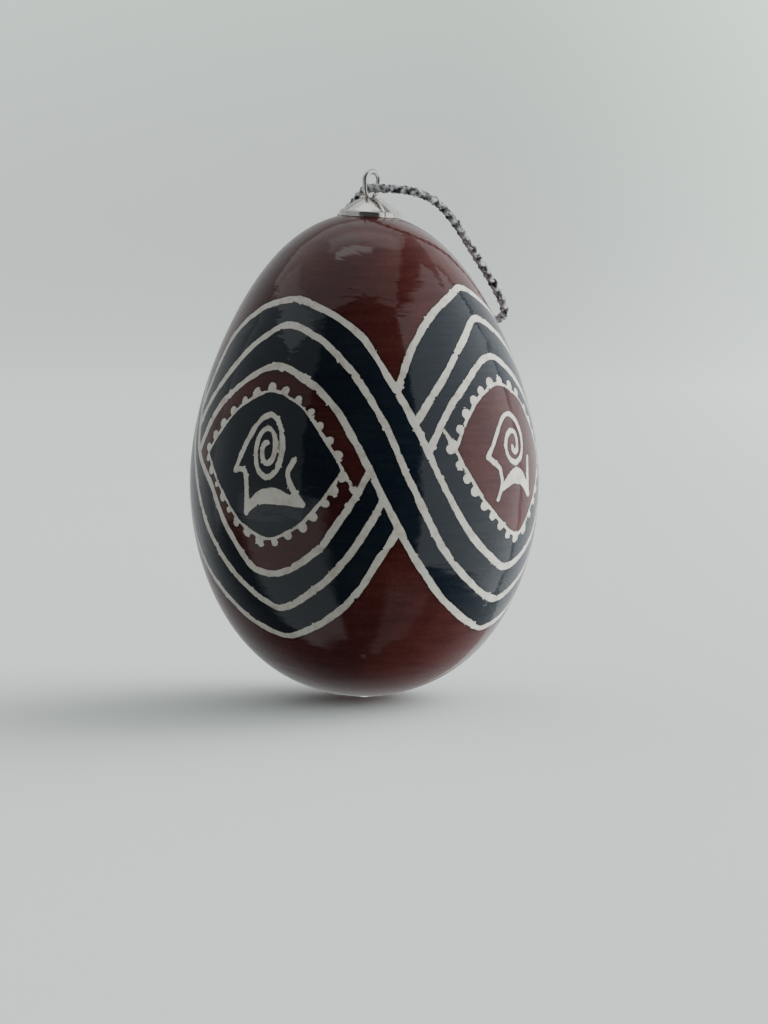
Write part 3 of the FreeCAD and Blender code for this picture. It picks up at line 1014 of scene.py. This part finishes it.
def make_knot(yarn):
    """An overhand knot: one end runs through, the other turns round it, and two frayed tails hang out."""
    bundle = Bundle()
    across = KNOT_AXIS.orthogonal().normalized()
    up = KNOT_AXIS.cross(across)
    coil = []
    for k in range(KNOT_STEPS + 1):
        angle = 2 * math.pi * KNOT_TURNS * k / KNOT_STEPS + 0.6
        along = KNOT_HALF_LENGTH * (2 * k / KNOT_STEPS - 1)
        out = math.cos(angle) * across + math.sin(angle) * up
        coil.append(KNOT_CENTRE + KNOT_AXIS * along + out * KNOT_COIL_R)
    tail_one = [(-0.0039, 0.0230, 0.0326), (-0.0044, 0.0234, 0.0305), (-0.0047, 0.0235, 0.0274)]
    tail_two = [(-0.0031, 0.0233, 0.0322), (-0.0023, 0.0237, 0.0307), (-0.0014, 0.0238, 0.0289)]
    through = [(-0.0027, 0.0215, 0.0362), KNOT_CENTRE + KNOT_AXIS * -0.001, KNOT_CENTRE, *tail_one]
    wound = [(-0.0039, 0.0213, 0.0363), *coil, *tail_two]
    braid(bundle, spline_points("through", through), 0.94, 2.2 * MM, 5)
    braid(bundle, spline_points("wound", wound), 0.90, 2.4 * MM, 6)
    knot = bundle.piece("cord_knot_tied", yarn)
    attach(knot, "cord")
    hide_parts("cord_knot")
    return knot


def make_cord():
    """The loop of braided metallic cord, from the knot over the shoulder, through the eye and back."""
    yarn = yarn_material()
    line = spline_points("cord_line", CORD_ROUTE)
    bundle = Bundle()
    braid(bundle, line)
    loop = bundle.piece("braided_cord_loop", yarn)
    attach(loop, "cord")
    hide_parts("cord_loop")
    knot = make_knot(yarn)


# ---------------------------------------------------------------- floor and light

FLOOR_R = 1.25
FLOOR_Z = -0.0002
COVE_R = 0.45
COVE_TOP = 1.5
WALL_GLOW = 0.72
SIDE_GLOW = 1.0


def make_stage():
    """A pale round floor that curves up into a plain wall all round, so that no edge shows. It glows, and
    glows brighter on its right side as painted window light.
    """
    profile = [(0.0005, FLOOR_Z), (0.2, FLOOR_Z), (FLOOR_R - COVE_R, FLOOR_Z)]
    for k in range(1, 13):
        angle = math.pi / 2 * k / 12
        profile.append((FLOOR_R - COVE_R + COVE_R * math.sin(angle), COVE_R * (1 - math.cos(angle))))
    profile.append((FLOOR_R, COVE_TOP))
    stage = revolved("studio_floor", profile, 96)
    g = Graph(bpy.data.materials.new("studio_paper"))
    mottle = g.noise(g.place(), 6.0, 3.0, 0.5)
    fibre = g.noise(g.place(), 400.0, 3.0, 0.6)
    g.set(Base_Color=g.blend(mottle, (0.63, 0.675, 0.655, 1.0), (0.67, 0.71, 0.69, 1.0)))
    g.set(Roughness=0.9, Specular_IOR_Level=0.1, Normal=g.bump(fibre, 0.1, 0.0001))
    # Painted light: the backdrop glows though it is no lamp. Its walls glow to stay as bright as the lit
    # floor, and its right side glows brighter still, as painted window light.
    spot = g.node("ShaderNodeSeparateXYZ", {"Vector": g.place()})
    upright = g.remap(spot.outputs["Z"], 0.0, 0.3, 0.0, WALL_GLOW)
    right_side_painted_light = g.remap(spot.outputs["X"], 0.02, 0.30, 0.0, SIDE_GLOW)
    g.set(Emission_Color=(0.78, 0.98, 0.80, 1.0), Emission_Strength=g.math("ADD", upright, right_side_painted_light))
    stage.data.materials.append(g.owner)
    stage.visible_glossy = False
    stage.visible_diffuse = False
    stage.visible_shadow = False


KEY_PLACE = Vector((0.75, 0.45, 0.95))
KEY_SIZE = 0.7
KEY_POWER = 6.0
EGG_MIDDLE = Vector((0, 0, 0.03))


def make_key():
    """A soft square lamp behind on the right that faces the egg, and shows only in its light."""
    data = bpy.data.lights.new("key", "AREA")
    data.shape = "SQUARE"
    data.size = KEY_SIZE
    data.energy = KEY_POWER
    lamp = bpy.data.objects.new("key", data)
    lamp.location = KEY_PLACE
    lamp.rotation_euler = (EGG_MIDDLE - KEY_PLACE).to_track_quat("-Z", "Y").to_euler()
    lamp.visible_camera = False
    lamp.visible_glossy = False
    bpy.context.scene.collection.objects.link(lamp)


def make_room():
    """The room all round, which lights the egg: a window to the right, pale walls and a lit ceiling.

    The egg's varnish and the metal show that room as bright panels on its walls and ceiling.
    """
    g = Graph(bpy.data.worlds.new("room"), "Background")
    way = g.node("ShaderNodeTexCoord").outputs["Generated"]
    split = g.node("ShaderNodeSeparateXYZ", {"Vector": way})
    x, y, z = split.outputs["X"], split.outputs["Y"], split.outputs["Z"]
    azimuth = g.math("ARCTAN2", x, g.math("MULTIPLY", y, -1.0))
    height = g.math("ARCSINE", z)

    def between(value, low, high, edge):
        rise = g.remap(value, low - edge, low + edge)
        fall = g.remap(value, high - edge, high + edge, 1.0, 0.0)
        return g.math("MULTIPLY", rise, fall)

    def wall_panel(round_range, up_range, edge):
        """A bright rectangle of wall, in degrees round from the camera and up from the horizon."""
        low, high = (math.radians(a) for a in round_range)
        foot, top = (math.radians(a) for a in up_range)
        edge = math.radians(edge)
        return g.math("MULTIPLY", between(azimuth, low, high, edge), between(height, foot, top, edge))

    above = g.math("MAXIMUM", z, 0.02)
    over_x = g.math("DIVIDE", x, above)
    over_y = g.math("DIVIDE", y, above)
    ceiling = g.math("MULTIPLY", between(over_x, -1.3, 0.46, 0.02), between(over_y, -0.55, 0.98, 0.03))
    lamp = g.math("MULTIPLY", between(over_x, -0.34, 0.10, 0.03), between(over_y, -0.05, 0.06, 0.03))
    glow = g.math("MULTIPLY", between(over_x, -0.42, 0.40, 0.05), between(over_y, 0.10, 0.46, 0.10))
    shown = g.remap(y, 0.1, 0.9, 0.05, 0.34)
    for mask, level in (
        (ceiling, 0.48),
        (lamp, 1.2),
        (glow, 0.50),
        (wall_panel((38, 112), (-32, 53), 2.0), 0.85),
        (wall_panel((112, 124), (-32, 41), 0.8), 0.85),
        (wall_panel((128, 171), (-25, 43), 1.0), 0.42),
        (wall_panel((-175, -118), (-15, 36), 8.0), 0.12),
        (wall_panel((-118, -41), (-12, 48), 1.5), 0.24),
        (wall_panel((-88, -26), (-70, -6), 6.0), 0.50),
        (wall_panel((20, 60), (-84, -40), 6.0), 0.22),
    ):
        shown = g.math("MULTIPLY_ADD", mask, level, shown)
    light = g.remap(z, -0.1, 0.8, 0.22, 0.48)
    toward_window = g.math("MULTIPLY_ADD", y, 0.45, x)
    light = g.math("ADD", light, g.remap(toward_window, 0.55, 1.0, 0.0, 6.8))
    light = g.math("ADD", light, g.remap(x, -0.1, -0.8, 0.0, 0.25))
    light = g.math("ADD", light, g.remap(y, 0.0, 0.8, 0.0, 0.9))
    glossy = g.node("ShaderNodeLightPath").outputs["Is Glossy Ray"]
    strength = g.math("MULTIPLY_ADD", glossy, g.math("SUBTRACT", shown, light), light)
    g.set(Color=(0.94, 0.975, 0.98, 1.0), Strength=strength)
    bpy.context.scene.world = g.owner


def finish_membrane():
    """The membrane keeps its own shape and gets its fibres."""
    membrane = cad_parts["shell_membrane"]
    material = membrane_material()
    if not membrane.data.materials:
        membrane.data.materials.append(material)
    for slot in membrane.material_slots:
        slot.material = material


make_camera()
make_cord()
make_egg()
make_cap()
make_wire()
finish_membrane()
make_stage()
make_key()
make_room()
